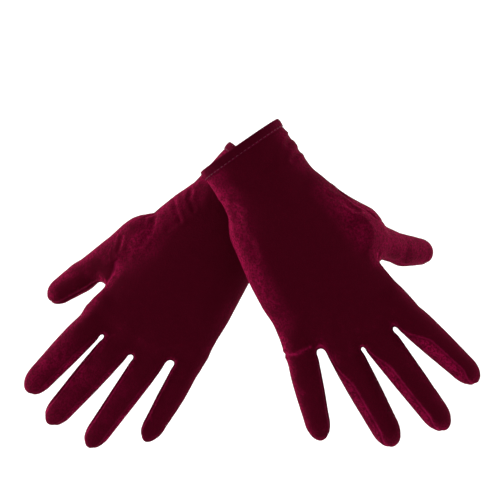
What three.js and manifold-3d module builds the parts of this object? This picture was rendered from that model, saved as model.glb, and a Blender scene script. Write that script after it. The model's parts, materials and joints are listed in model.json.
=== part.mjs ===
// A pair of wrist-length stretch-velvet dress gloves, crossed at the cuffs with the backs of the
// hands to the front, and held in the open shape that they have when worn.
//
// Each glove is cut and sewn from a back panel and a palm panel, three fourchettes (the strips that
// line the gaps between the fingers), a set-in thumb and a turned-up hem. The cloth of every finger
// is divided at its two hinges, so that a finger can curl. All solids are hollow walls of cloth.
//
// Units are millimetres. Row frame: +Z up, the backs of both gloves face -Y, the origin is at the
// centre of the right glove's cuff opening.
//
// Each glove is modelled in its own frame: x across the hand, y from the cuff to the fingertips,
// z out of the back of the hand. "across" is always measured towards the thumb.

import * as THREE from "three";
import { ConvexGeometry } from "three/addons/geometries/ConvexGeometry.js";
import { mergeVertices } from "three/addons/utils/BufferGeometryUtils.js";
import Module from "manifold-3d";

const wasm = await Module();
wasm.setup();

// ---------------------------------------------------------------- driving dimensions

const CLOTH = 1.4; // velvet: knitted ground and pile
const HEM_CLOTH = 2.4; // the hem is the cloth turned in on itself and pressed
const HEM_DEPTH = 6.5;
const SEAM_GAP = 0.3; // between pieces of cloth that are sewn together
const FOURCHETTE_WIDTH = 7;
const HINGE_GAP = 0.5; // between two lengths of a finger on the back of a hinge

// The tube of the cuff, as half-width and half-depth of an oval at two places along the glove.
const CUFF = { along: 0, halfWidth: 29.2, halfDepth: 18.8 };
const WRIST = { along: 38, halfWidth: 29.8, halfDepth: 18.6 };

// The hand inside the palm, as oval balls: [across, along, out of the back, half-width, half-depth].
const HEEL_OF_THUMB = [24.3, 72, -2, 16.5, 15];
const HEEL_OF_HAND = [-25, 76, -1, 16.5, 14];
const KNUCKLES = {
  index: [21.5, 127, 0, 12, 12.6],
  middle: [3, 130, 0.6, 12.4, 13],
  ring: [-17, 126.5, 0.2, 12.2, 12.4],
  little: [-37, 118.5, -0.8, 12.6, 11.4],
};

// Fingers. root: where the finger leaves the hand, across and along. The other lengths are measured
// from the root along the finger, and widths are across it at the root, the middle joint and the pad.
const FINGERS = {
  index: { root: [25.6, 149.5], length: 60, knuckle: 8, middle: 28, pad: 47, widths: [20, 18.6, 16.8] },
  middle: { root: [3, 149.5], length: 70.5, knuckle: 8, middle: 32, pad: 57, widths: [21.2, 19.8, 17.6] },
  ring: { root: [-20, 146], length: 66, knuckle: 8, middle: 30, pad: 53, widths: [20.4, 19, 17] },
  little: { root: [-43.5, 135], length: 52, knuckle: 7, middle: 24, pad: 40.5, widths: [19.6, 17.4, 15.6] },
};
const FINGER_FLATNESS = 0.87; // depth of a finger over its width
const TIP_WIDTH = 10.5;

// The gaps between the fingers end at these points.
const CROTCHES = [
  { between: ["index", "middle"], across: 14.4, along: 148.5 },
  { between: ["middle", "ring"], across: -9, along: 147 },
  { between: ["ring", "little"], across: -31.2, along: 134.5 },
];
const WEB = { halfWidth: 4, halfDepth: 5.6 };

const THUMB = { widths: [23, 20.5, 18.6, 16.4], padFromTip: 10.5, flatness: 0.9 };

// How each hand is held: the turn of the cuff away from straight down, the place of its opening, and
// for each finger how far it leans towards the thumb and how far it dips towards the palm.
const GLOVES = {
  right: {
    side: -1,
    lean: -34.9,
    cuffAt: [0, 0, 0],
    fingers: { index: [12.5, 6], middle: [2.3, 3], ring: [-6.2, 12], little: [-21.5, 8] },
    thumb: { root: [27, 82, -6], knuckle: [39, 98, -15], middle: [49.5, 112.5, -35], tip: [65, 125, -55] },
    thumbWeb: [25.5, 105, -7],
  },
  left: {
    side: 1,
    lean: 39.45,
    cuffAt: [16.6, 40, -14],
    fingers: { index: [4.2, 3], middle: [2, 4], ring: [-3.8, 2], little: [-9.8, 4] },
    thumb: { root: [29, 84, -6], knuckle: [44, 104, -13], middle: [51, 129, -21], tip: [59, 155, -26] },
    thumbWeb: [31, 113, -7],
  },
};

// How far the hinges close, in degrees, towards the palm.
const CURL = { knuckle: 62, middle: 80, thumbKnuckle: 32, thumbMiddle: 56 };
const HINGE_ROOM = 4; // degrees of clearance left in each palm-side notch at full curl
const PART_TRAVEL = 120; // how far the left glove draws back from the right one

const VELVET = new THREE.MeshStandardMaterial({ color: 0x4a0418, roughness: 0.9, metalness: 0 });
const THUMB_VELVET = new THREE.MeshStandardMaterial({ color: 0x52061d, roughness: 0.9, metalness: 0 });
const HEM_VELVET = new THREE.MeshStandardMaterial({ color: 0x3f0315, roughness: 0.9, metalness: 0 });

const REACH = 260; // longer than the glove, for cutting prisms
const BALL_SIDES = 10;
const BALL_BANDS = 6;
const CUFF_SIDES = 20;

// ---------------------------------------------------------------- solids

const radians = THREE.MathUtils.degToRad;

// A closed geometry as a manifold solid.
function solidOf(geometry) {
  const bare = geometry.clone();
  bare.deleteAttribute("normal");
  bare.deleteAttribute("uv");
  const merged = mergeVertices(bare, 1e-4);
  return new wasm.Manifold(
    new wasm.Mesh({
      numProp: 3,
      vertProperties: merged.getAttribute("position").array,
      triVerts: new Uint32Array(merged.index.array),
    }),
  );
}

function geometryOf(solid) {
  const { numProp, vertProperties, triVerts } = solid.getMesh();
  const positions = new Float32Array((vertProperties.length / numProp) * 3);
  for (let v = 0; v < positions.length / 3; v++)
    positions.set(vertProperties.subarray(v * numProp, v * numProp + 3), v * 3);
  const indexed = new THREE.BufferGeometry()
    .setAttribute("position", new THREE.BufferAttribute(positions, 3))
    .setIndex(new THREE.BufferAttribute(new Uint32Array(triVerts), 1));
  const flat = indexed.toNonIndexed();
  flat.computeVertexNormals();
  return flat;
}

const hull = (...clouds) => solidOf(new ConvexGeometry(clouds.flat()));
const joined = (solids) => solids.reduce((all, one) => all.add(one));

// ---------------------------------------------------------------- frames

// A frame that lies along a length of a digit: origin, forward to its tip, dorsal out of its back.
function frameAt(origin, forward, dorsalHint) {
  const f = forward.clone().normalize();
  const axis = new THREE.Vector3().crossVectors(f, dorsalHint).normalize();
  const dorsal = new THREE.Vector3().crossVectors(axis, f);
  const matrix = new THREE.Matrix4().makeBasis(f, dorsal, axis).setPosition(origin);
  return { origin, forward: f, dorsal, axis, matrix };
}

// An oval ball's points: half-width across the digit, half-depth through it, thinned by "inset".
function ball(frame, centre, halfWidth, halfDepth, inset) {
  const sphere = new THREE.SphereGeometry(1, BALL_SIDES, BALL_BANDS);
  const w = halfWidth - inset;
  const placed = new THREE.Matrix4()
    .makeBasis(frame.forward, frame.dorsal, frame.axis)
    .scale(new THREE.Vector3(w, halfDepth - inset, w))
    .setPosition(centre);
  return pointsOf(sphere.applyMatrix4(placed));
}

function pointsOf(geometry) {
  const at = geometry.getAttribute("position");
  return Array.from({ length: at.count }, (_, i) => new THREE.Vector3().fromBufferAttribute(at, i));
}

// The points of an oval ring across the glove.
function ring({ halfWidth, halfDepth }, along, inset) {
  const oval = new THREE.EllipseCurve(0, 0, halfWidth - inset, halfDepth - inset);
  return oval.getSpacedPoints(CUFF_SIDES).map((p) => new THREE.Vector3(p.x, along, p.y));
}

// A prism whose outline is given in a frame's forward and dorsal directions, as wide as asked.
function prism(frame, outline, halfWidth = REACH) {
  const shape = new THREE.Shape(outline.map(([u, v]) => new THREE.Vector2(u, v)));
  const block = new THREE.ExtrudeGeometry(shape, { depth: 2 * halfWidth, bevelEnabled: false });
  return solidOf(block.translate(0, 0, -halfWidth).applyMatrix4(frame.matrix));
}

// The space on one side of a hinge, TIP_SIDE or HAND_SIDE: square to the digit on its back, and cut
// back as a notch on its palm side, so that the two lengths of the digit can close on each other.
const TIP_SIDE = 1;
const HAND_SIDE = -1;
function besideHinge(hinge, side) {
  const start = HINGE_GAP / 2;
  const notched = start + REACH * Math.tan(radians((hinge.curl + HINGE_ROOM) / 2));
  const outline = [
    [start, 0],
    [notched, -REACH],
    [notched + REACH, -REACH],
    [notched + REACH, REACH],
    [start, REACH],
  ];
  return prism(
    hinge,
    outline.map(([u, v]) => [side * u, v]),
  );
}

// The space on one side of a seam that runs along a digit or the hand, BACK_SIDE or PALM_SIDE.
const BACK_SIDE = 1;
const PALM_SIDE = -1;
function besideSeam(frame, side) {
  const [near, far] = [(side * SEAM_GAP) / 2, side * REACH];
  return prism(frame, [
    [-REACH, near],
    [REACH, near],
    [REACH, far],
    [-REACH, far],
  ]);
}

// ---------------------------------------------------------------- digits

const BACK = new THREE.Vector3(0, 0, 1);

// A place in a glove's own frame, from its distance towards the thumb.
const placeIn = (side) => (across, along, dorsal = 0) => new THREE.Vector3(side * across, along, dorsal);

// A finger's frames, hinges and the balls that its cloth is stretched over.
function finger(glove, name) {
  const { root, length, knuckle, middle, pad, widths } = FINGERS[name];
  const [lean, dip] = glove.fingers[name].map(radians);
  const place = placeIn(glove.side);
  const forward = place(Math.sin(lean) * Math.cos(dip), Math.cos(lean) * Math.cos(dip), -Math.sin(dip));
  const frame = frameAt(place(...root), forward, BACK);
  const along = (distance) => frame.origin.clone().addScaledVector(frame.forward, distance);
  const [ax, ay, az, halfWidth, halfDepth] = KNUCKLES[name];
  const station = (distance, width) => [frame, along(distance), width / 2, (width / 2) * FINGER_FLATNESS];
  return {
    name,
    frame,
    hinges: [
      { ...frameAt(along(knuckle), frame.forward, frame.dorsal), curl: CURL.knuckle },
      { ...frameAt(along(middle), frame.forward, frame.dorsal), curl: CURL.middle },
    ],
    tip: along(length),
    stations: [
      [frame, place(ax, ay, az), halfWidth, halfDepth],
      station(0, widths[0]),
      station(middle, widths[1]),
      station(pad, widths[2]),
      station(length - TIP_WIDTH / 2, TIP_WIDTH),
    ],
  };
}

// The thumb's two lengths point different ways. Its nail faces out between the back and the side.
function thumb(glove) {
  const place = placeIn(glove.side);
  const [root, knuckle, middle, tip] = ["root", "knuckle", "middle", "tip"].map((n) =>
    place(...glove.thumb[n]),
  );
  const nail = place(0.8, 0, 0.75);
  const first = frameAt(knuckle, middle.clone().sub(knuckle), nail);
  const last = frameAt(middle, tip.clone().sub(middle), nail);
  const back = (distance) => tip.clone().addScaledVector(last.forward, -distance);
  const station = (frame, centre, width) => [frame, centre, width / 2, (width / 2) * THUMB.flatness];
  const [atRoot, atKnuckle, atMiddle, atPad] = THUMB.widths;
  return {
    name: "thumb",
    frame: first,
    hinges: [
      { ...first, curl: CURL.thumbKnuckle },
      { ...last, curl: CURL.thumbMiddle },
    ],
    tip,
    stations: [
      station(first, root, atRoot),
      station(first, knuckle, atKnuckle),
      station(last, middle, atMiddle),
      station(last, back(THUMB.padFromTip), atPad),
      station(last, back(TIP_WIDTH / 2), TIP_WIDTH),
    ],
  };
}

// A digit's solid at an inset from its outside: hulls over each two neighbouring balls.
function digitSolid(digit, inset) {
  const clouds = digit.stations.map((s) => ball(...s, inset));
  return joined(clouds.slice(1).map((cloud, i) => hull(clouds[i], cloud)));
}

// The cloth of a digit beyond its first hinge, as a back and a palm piece for each of its two lengths.
function digitPieces(digit) {
  const wall = digitSolid(digit, 0).subtract(digitSolid(digit, CLOTH));
  const [first, second] = digit.hinges;
  const lengths = {
    base: [wall.intersect(besideHinge(first, TIP_SIDE)).intersect(besideHinge(second, HAND_SIDE)), first],
    tip: [wall.intersect(besideHinge(second, TIP_SIDE)), second],
  };
  return Object.entries(lengths).flatMap(([length, [cloth, frame]]) => [
    [`${digit.name}_${length}_back`, cloth.intersect(besideSeam(frame, BACK_SIDE))],
    [`${digit.name}_${length}_palm`, cloth.intersect(besideSeam(frame, PALM_SIDE))],
  ]);
}

// ---------------------------------------------------------------- the hand of the glove

const handFrame = frameAt(new THREE.Vector3(), new THREE.Vector3(0, 1, 0), BACK);

// The cuff, the palm and the webs between the fingers, without the digits.
function handSolid(glove, inset) {
  const place = placeIn(glove.side);
  const oval = ([across, along, dorsal, halfWidth, halfDepth]) =>
    ball(handFrame, place(across, along, dorsal), halfWidth, halfDepth, inset);
  const knuckles = Object.fromEntries(Object.entries(KNUCKLES).map(([n, k]) => [n, oval(k)]));
  const wrist = ring(WRIST, WRIST.along, inset);
  const cuffEnd = inset > 0 ? CUFF.along - CLOTH : CUFF.along;
  const palm = hull(wrist, oval(HEEL_OF_THUMB), oval(HEEL_OF_HAND), ...Object.values(knuckles));
  const webs = CROTCHES.map(({ between: [a, b], across, along }) =>
    hull(knuckles[a], knuckles[b], oval([across, along - WEB.halfWidth, 0, WEB.halfWidth, WEB.halfDepth])),
  );
  return joined([hull(ring(CUFF, cuffEnd, inset), wrist), palm, ...webs]);
}

// The root of the thumb, from the palm to its first hinge, with the web that runs to the forefinger.
function thumbRoot(glove, digit, inset) {
  const place = placeIn(glove.side);
  const knuckle = ball(...digit.stations[1], inset);
  const heel = ball(handFrame, place(...HEEL_OF_THUMB), HEEL_OF_THUMB[3], HEEL_OF_THUMB[4], inset);
  const web = ball(handFrame, place(...glove.thumbWeb), WEB.halfWidth, WEB.halfDepth, inset);
  return joined([hull(heel, knuckle), hull(knuckle, web, ball(...digit.stations[0], inset))]);
}

// The strip between two finger axes that a fourchette fills, grown by "margin".
function fourchetteSpace(fingers, [a, b], margin) {
  const setBack = 9;
  const ends = [a, b].map((name) => {
    const { origin, forward } = fingers[name].frame;
    return [-setBack, REACH].map((d) => origin.clone().addScaledVector(forward, d));
  });
  const outline = [ends[0][0], ends[0][1], ends[1][1], ends[1][0]].map((p) => new THREE.Vector2(p.x, p.y));
  if (THREE.ShapeUtils.isClockWise(outline)) outline.reverse();
  const depth = FOURCHETTE_WIDTH + 2 * margin;
  const block = new THREE.ExtrudeGeometry(new THREE.Shape(outline), { depth, bevelEnabled: false });
  return solidOf(block.translate(0, 0, -depth / 2));
}

function band(from, to) {
  return prism(handFrame, [
    [from, -REACH],
    [to, -REACH],
    [to, REACH],
    [from, REACH],
  ]);
}

// All pieces of one glove, as [name, solid] pairs in the glove's own frame, and its digits.
function gloveParts(side) {
  const glove = GLOVES[side];
  const fingers = Object.fromEntries(Object.keys(FINGERS).map((name) => [name, finger(glove, name)]));
  const thumbDigit = thumb(glove);
  const digits = [...Object.values(fingers), thumbDigit];

  const outside = handSolid(glove, 0);
  const inside = joined([
    handSolid(glove, CLOTH),
    thumbRoot(glove, thumbDigit, CLOTH),
    ...digits.map((digit) => digitSolid(digit, CLOTH)),
  ]);
  const stubs = Object.values(fingers).map((f) => digitSolid(f, 0).intersect(besideHinge(f.hinges[0], HAND_SIDE)));
  const cloth = joined([outside, ...stubs]).subtract(inside);

  const hem = outside.subtract(handSolid(glove, HEM_CLOTH)).intersect(band(CUFF.along, HEM_DEPTH));
  const panels = cloth.intersect(band(HEM_DEPTH + SEAM_GAP, REACH));
  const strips = CROTCHES.map(({ between }) => fourchetteSpace(fingers, between, 0));
  const cuts = joined(CROTCHES.map(({ between }) => fourchetteSpace(fingers, between, SEAM_GAP)));
  const gusset = thumbRoot(glove, thumbDigit, 0)
    .intersect(besideHinge(thumbDigit.hinges[0], HAND_SIDE))
    .subtract(handSolid(glove, -SEAM_GAP))
    .subtract(joined(Object.values(fingers).map((f) => digitSolid(f, -SEAM_GAP))))
    .subtract(inside);

  const pieces = [
    ["cuff_hem", hem],
    ["back_panel", panels.intersect(besideSeam(handFrame, BACK_SIDE)).subtract(cuts)],
    ["palm_panel", panels.intersect(besideSeam(handFrame, PALM_SIDE)).subtract(cuts)],
    ["thumb_gusset", gusset],
    ...CROTCHES.map(({ between }, i) => [`fourchette_${between.join("_")}`, cloth.intersect(strips[i])]),
    ...digits.flatMap(digitPieces),
  ];
  return { pieces, digits };
}

// ---------------------------------------------------------------- the pair

const material = (name) =>
  name.startsWith("thumb") ? THUMB_VELVET : name === "cuff_hem" ? HEM_VELVET : VELVET;

const pair = new THREE.Group();
pair.userData = { hinges: [], partTravel: PART_TRAVEL };

for (const side of Object.keys(GLOVES)) {
  const { pieces, digits } = gloveParts(side);
  const group = new THREE.Group();
  group.position.set(...GLOVES[side].cuffAt);
  group.rotation.set(Math.PI / 2, Math.PI + radians(GLOVES[side].lean), 0, "YXZ");
  for (const [name, solid] of pieces) {
    const mesh = new THREE.Mesh(geometryOf(solid), material(name));
    mesh.name = `${side}_${name}`;
    group.add(mesh);
  }
  pair.add(group);
  group.updateMatrixWorld(true);
  for (const digit of digits)
    digit.hinges.forEach(({ origin, axis, curl }, i) =>
      pair.userData.hinges.push({
        name: `${side}_${digit.name}_${["knuckle", "middle"][i]}`,
        at: origin.clone().applyMatrix4(group.matrixWorld).toArray(),
        axis: axis.clone().negate().transformDirection(group.matrixWorld).toArray(),
        curl,
      }),
    );
}

export default pair;
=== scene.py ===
# A pair of wrist-length dress gloves in burgundy stretch velvet, crossed at the cuffs with the
# backs of the hands to the front, and filled out as if they were worn. Each glove is one skin of
# cloth that is worked out whole, puckered by a cloth simulation, and then cut along its seams and
# hinges.

import json
import math

import bpy
import numpy as np
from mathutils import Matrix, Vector, kdtree


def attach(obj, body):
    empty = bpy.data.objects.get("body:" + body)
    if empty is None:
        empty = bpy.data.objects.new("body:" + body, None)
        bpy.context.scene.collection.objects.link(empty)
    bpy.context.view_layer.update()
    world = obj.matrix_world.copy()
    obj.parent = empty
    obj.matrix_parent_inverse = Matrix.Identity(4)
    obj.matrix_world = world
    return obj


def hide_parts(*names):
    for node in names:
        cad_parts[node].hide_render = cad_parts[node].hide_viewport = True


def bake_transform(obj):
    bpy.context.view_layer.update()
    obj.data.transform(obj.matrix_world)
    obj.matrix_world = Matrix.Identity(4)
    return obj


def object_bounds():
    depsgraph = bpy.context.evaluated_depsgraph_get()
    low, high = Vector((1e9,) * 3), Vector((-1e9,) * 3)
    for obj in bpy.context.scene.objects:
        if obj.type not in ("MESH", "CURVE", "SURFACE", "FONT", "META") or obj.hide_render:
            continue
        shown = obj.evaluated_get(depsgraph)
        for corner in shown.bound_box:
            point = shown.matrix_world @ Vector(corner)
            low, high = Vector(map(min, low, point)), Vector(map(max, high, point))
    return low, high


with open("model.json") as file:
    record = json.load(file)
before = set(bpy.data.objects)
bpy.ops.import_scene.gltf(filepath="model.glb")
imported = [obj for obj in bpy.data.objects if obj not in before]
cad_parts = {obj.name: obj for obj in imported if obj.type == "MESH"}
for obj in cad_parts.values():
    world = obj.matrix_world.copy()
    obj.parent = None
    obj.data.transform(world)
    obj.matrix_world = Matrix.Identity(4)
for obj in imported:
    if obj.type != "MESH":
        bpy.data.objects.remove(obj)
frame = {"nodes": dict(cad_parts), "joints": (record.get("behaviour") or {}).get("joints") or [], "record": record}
cad_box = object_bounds()


# -------- the studio
# The camera looks level at the backs of the hands from a little over a metre away. The pair hangs
# in front of a pale sweep of paper, under one broad soft light from the front and two along the
# sides.

def srgb(hexadecimal):
    """A hex colour such as B01030 as linear red, green, blue and alpha."""
    parts = [int(hexadecimal[i : i + 2], 16) / 255 for i in (0, 2, 4)]
    return [c / 12.92 if c <= 0.04045 else ((c + 0.055) / 1.055) ** 2.4 for c in parts] + [1.0]


def node(tree, kind, links=None, **settings):
    """A new node. A setting is a property or an input's value. A link comes from another node's
    output, and a node alone stands for its first output."""
    made = tree.nodes.new(kind)
    for name, value in settings.items():
        words = name.replace("_", " ")
        if hasattr(made, name):
            setattr(made, name, value)
        else:
            found = [s for s in made.inputs if s.name.lower() == words.lower()]
            found[0].default_value = value
    for name, source in (links or {}).items():
        output = source if isinstance(source, bpy.types.NodeSocket) else source.outputs[0]
        tree.links.new(output, made.inputs[name])
    return made


def link_object(name, data):
    """A new object for a mesh, light or camera, in the scene."""
    made = bpy.data.objects.new(name, data)
    bpy.context.scene.collection.objects.link(made)
    return made


def mesh_object(name, points, faces, edges=()):
    """A new smooth-shaded mesh object in the scene."""
    mesh = bpy.data.meshes.new(name)
    mesh.from_pydata(points, edges, faces)
    mesh.polygons.foreach_set("use_smooth", [True] * len(faces))
    return link_object(name, mesh)


def empty_material(name):
    """A new material whose nodes are still to be laid, and its node tree."""
    material = bpy.data.materials.new(name)
    material.use_nodes = True
    material.node_tree.nodes.clear()
    return material, material.node_tree


PICTURE_WIDTH = 0.3125  # across the view, in the plane of the front glove
CAMERA_AWAY = 1.15
LOOK_ASIDE, LOOK_BELOW = 0.0069, 0.0653  # from the middle of the front glove's cuff

mounts = {mount["name"]: mount for mount in frame["record"]["mounts"]}
aim = Vector(mounts["right_cuff"]["pos_m"]) + Vector((LOOK_ASIDE, 0, -LOOK_BELOW))
camera_data = bpy.data.cameras.new("camera")
camera_data.sensor_width = 36.0
camera_data.lens = camera_data.sensor_width * CAMERA_AWAY / PICTURE_WIDTH
camera = link_object("camera", camera_data)
camera.location = aim + Vector((0, -CAMERA_AWAY, 0))
camera.rotation_euler = (math.radians(90), 0, 0)
bpy.context.scene.camera = camera
bpy.context.scene.view_settings.view_transform = "Standard"  # the cloth's hex colours stay as given

# The paper lies flat below the gloves, then curves up behind them.
FLOOR_BELOW = 0.16
SWEEP_FRONT, SWEEP_BEHIND, SWEEP_RADIUS, SWEEP_HEIGHT, SWEEP_HALF = -3.0, 2.4, 0.9, 2.8, 3.5
SWEEP_STEPS = 12
floor_z = cad_box[0].z - FLOOR_BELOW
profile = [(SWEEP_FRONT, floor_z), (SWEEP_BEHIND - SWEEP_RADIUS, floor_z)]
for step in range(1, SWEEP_STEPS + 1):
    turn = math.radians(90) * step / SWEEP_STEPS
    y = SWEEP_BEHIND - SWEEP_RADIUS + SWEEP_RADIUS * math.sin(turn)
    profile.append((y, floor_z + SWEEP_RADIUS * (1 - math.cos(turn))))
profile.append((SWEEP_BEHIND, floor_z + SWEEP_HEIGHT))
sweep_points = [(x, y, z) for y, z in profile for x in (-SWEEP_HALF, SWEEP_HALF)]
sweep_faces = [(2 * i, 2 * i + 1, 2 * i + 3, 2 * i + 2) for i in range(len(profile) - 1)]
sweep = mesh_object("paper_sweep", sweep_points, sweep_faces)

# Matt background paper: almost white, with no gloss and the faintest mottle.
MOTTLES_PER_METRE = 60.0
paper, tree = empty_material("matt_paper")
mottle = node(tree, "ShaderNodeTexNoise", Scale=MOTTLES_PER_METRE, Detail=3.0)
tone = node(tree, "ShaderNodeMapRange", {"Value": mottle}, To_Min=0.90, To_Max=0.94)
matt = node(tree, "ShaderNodeBsdfPrincipled", {"Base Color": tone}, Roughness=0.95)
node(tree, "ShaderNodeOutputMaterial", {"Surface": matt})
sweep.data.materials.append(paper)

AIR_LIGHT = 0.72
world = bpy.data.worlds.new("studio_air")
bpy.context.scene.world = world
world.use_nodes = True
air = world.node_tree.nodes["Background"]
air.inputs["Color"].default_value = srgb("FFFFFF")
air.inputs["Strength"].default_value = AIR_LIGHT


def softbox(name, at, towards, size, power):
    """A soft rectangular light of a size in metres and a power in watts."""
    light = bpy.data.lights.new(name, "AREA")
    light.shape = "RECTANGLE"
    light.size, light.size_y = size
    light.energy = power
    made = link_object(name, light)
    made.location = at
    made.rotation_euler = (Vector(towards) - Vector(at)).to_track_quat("-Z", "Y").to_euler()


softbox("front_softbox", (-0.5, -1.6, 1.0), aim, (1.0, 0.8), 5)
softbox("left_softbox", (-1.3, 0.1, 0.25), aim, (0.6, 1.2), 22)
softbox("right_softbox", (1.3, 0.05, 0.45), aim, (0.5, 1.0), 13)
softbox("paper_light_left", (-1.5, 1.5, 0.9), (0.2, SWEEP_BEHIND, 0.0), (0.8, 1.2), 16)
softbox("paper_light_right", (1.5, 1.5, 0.9), (-0.2, SWEEP_BEHIND, 0.0), (0.8, 1.2), 16)


# -------- the hand in each glove
# A glove takes its shape from the hand in it. The bones of that hand run through the hinges of the
# frame; lengths here are millimetres in the glove's own directions: across it towards the thumb,
# along it from the hem to the fingertips, and out of the back of the hand.

MM = 0.001
FINGERS = ("index", "middle", "ring", "little")
DIGITS = FINGERS + ("thumb",)
KNUCKLE_FROM_ROOT = {"index": 8.0, "middle": 8.0, "ring": 8.0, "little": 7.0}
RIM_WITHIN = 0.05  # of the cuff's outermost points
TIP_WITHIN = 0.6  # of a digit's furthest point

# How far each digit's cloth lies from the line through its hinges, towards the thumb and along the
# glove, and how much further its tip reaches.
LIE = {
    "right": {
        "index": (0.1, 0, 0.2),
        "middle": (-0.5, 0, 1.2),
        "ring": (-0.35, 0, 1.8),
        "little": (-1.4, -0.8, -0.2),
        "thumb": (-1.3, 0.8, 0.6),
    },
    "left": {
        "index": (-1.6, 0, 0.2),
        "middle": (-0.7, 0, -3.0),
        "ring": (-0.8, 0, 0.2),
        "little": (0.3, 0, -0.8),
        "thumb": (-1.9, 0.5, 0.0),
    },
}

joints = {joint["name"]: joint for joint in frame["joints"]}


def cad_points(name):
    """Every vertex of a node of the frame, in millimetres."""
    return np.array([v.co for v in frame["nodes"][name].data.vertices], float) / MM


def unit(v):
    return v / np.linalg.norm(v)


class Hand:
    """The directions, hinges and fingertips of the hand in one glove."""

    def __init__(self, side):
        self.side = side
        out_of_cuff = unit(np.array(mounts[f"{side}_cuff_rim"]["axis"], float))
        along, back = -out_of_cuff, np.array([0.0, -1.0, 0.0])
        self.mirrored = side == "right"
        across = np.cross(along, back) * (-1 if self.mirrored else 1)
        self.turn = np.array([across, along, back])
        hem = cad_points(f"{side}_cuff_hem")
        rim = hem[hem @ along < (hem @ along).min() + RIM_WITHIN] @ self.turn.T
        self.origin = ((rim.min(0) + rim.max(0)) / 2) @ self.turn
        self.digits = {name: self.digit(name) for name in DIGITS}

    def inside(self, points):
        return (np.asarray(points) - self.origin) @ self.turn.T

    def outside(self, points):
        return np.asarray(points) @ self.turn + self.origin

    def digit(self, name):
        """The two bones of a digit: start and end, and forward, dorsal and sideways directions."""
        knuckle = np.array(joints[f"{self.side}_{name}_knuckle"]["pos_m"]) / MM
        middle = np.array(joints[f"{self.side}_{name}_middle"]["pos_m"]) / MM
        halves = [cad_points(f"{self.side}_{name}_tip_{half}") for half in ("back", "palm")]
        tip_cloth = np.vstack(halves)
        reach = np.linalg.norm(tip_cloth - middle, axis=1)
        tip = tip_cloth[reach > reach.max() - TIP_WITHIN].mean(0)
        across, along, further = LIE[self.side][name]
        tip = tip + unit(tip - middle) * further
        lie = np.array([across, along, 0.0])
        bones = {}
        for part, start, end, hinge in (
            ("base", knuckle, middle, "knuckle"),
            ("tip", middle, tip, "middle"),
        ):
            axis = np.array(joints[f"{self.side}_{name}_{hinge}"]["axis"], float)
            forward = unit(end - start)
            dorsal = unit(np.cross(forward, axis))
            bones[part] = {
                "start": self.inside(start) + lie,
                "end": self.inside(end) + lie,
                "forward": self.turn @ forward,
                "dorsal": self.turn @ dorsal,
                "sideways": self.turn @ unit(axis),
            }
        return bones


hands = {side: Hand(side) for side in ("right", "left")}


# -------- the skin of cloth
# Stretch velvet hugs the hand, so the glove's surface is where a field of distances from the hand
# is zero: an oval tube for the cuff and palm, pads at the heel, and tapered rods for fingers and
# thumb, run together with soft fillets. The surface is drawn from that field as a net of small
# squares.

# Half-widths of each finger in cloth at the root, the middle joint and the pad, and how far the
# cloth tapers past the pad to the fingertip. A finger's depth is a share of its width.
FINGER_SIZES = {
    "right": {
        "index": (10.2, 9.8, 8.4, 14.5),
        "middle": (10.8, 10.3, 8.9, 15.0),
        "ring": (10.5, 10.3, 9.0, 14.5),
        "little": (10.0, 9.6, 8.1, 15.0),
    },
    "left": {
        "index": (9.9, 9.9, 8.8, 14.5),
        "middle": (10.2, 10.0, 8.5, 15.5),
        "ring": (9.9, 9.2, 7.9, 15.5),
        "little": (8.6, 8.5, 7.3, 14.0),
    },
}
FINGER_DEPTH = 0.88
ROOT_REACH = 16.0  # how far a finger's rod runs back inside the hand
INSIDE_SHARE = 0.94  # of the root's width, at the rod's start
MIDDLE_AT = 0.42  # the middle joint, as a share of the way from root to pad

# The thumb's half-widths inside the hand, at its two hinges and at the pad, and its taper.
THUMB_SIZES = (12.4, 11.2, 9.9, 8.9, 11.5)
THUMB_DEPTH = 0.92
THUMB_REACH = 22.0  # back inside the hand
THUMB_BONES_FILLET = 3.0

# The hand without its digits, at distances along it: both edges across, and the surface of the back
# and of the palm above and below its middle plane.
HAND_ALONG = (-8, 0, 20, 38, 50, 62, 76, 90, 104, 118, 132, 150)
HAND_ULNAR = {
    "right": (-29.2, -29.2, -29.4, -30.8, -34.4, -38.6, -42.6, -44.8, -46.8, -49.8, -53.4, -56.0),
    "left": (-29.2, -29.2, -29.3, -30.2, -32.8, -35.2, -38.8, -42.4, -46.0, -48.4, -49.6, -51.0),
}
HAND_RADIAL = {
    "right": (29.3, 29.3, 29.3, 29.2, 30.2, 31.4, 31.8, 31.6, 31.0, 31.2, 33.0, 35.0),
    "left": (29.3, 29.3, 29.7, 30.6, 32.4, 33.6, 33.4, 32.4, 32.4, 32.6, 33.4, 35.0),
}
HAND_BACK = (18.8, 18.8, 18.6, 18.4, 17.4, 16.2, 15.0, 14.0, 13.2, 12.4, 11.4, 9.6)
HAND_PALM = (18.8, 18.8, 18.6, 18.6, 18.2, 17.6, 16.6, 15.4, 14.2, 12.8, 11.2, 9.2)
HAND_SQUARENESS = 2.25

# Where the hand ends between and behind the fingers.
HAND_END_ACROSS = (-60, -44, -31, -20, -9, 3, 14.4, 26, 40)
HAND_END_ALONG = (127, 131.5, 133.6, 143, 146.6, 148.5, 147.6, 148, 143)
WEB_THICKNESS = 6.6
WEB_TAPER = 15.0
WEB_ROUNDING = 5.0

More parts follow.
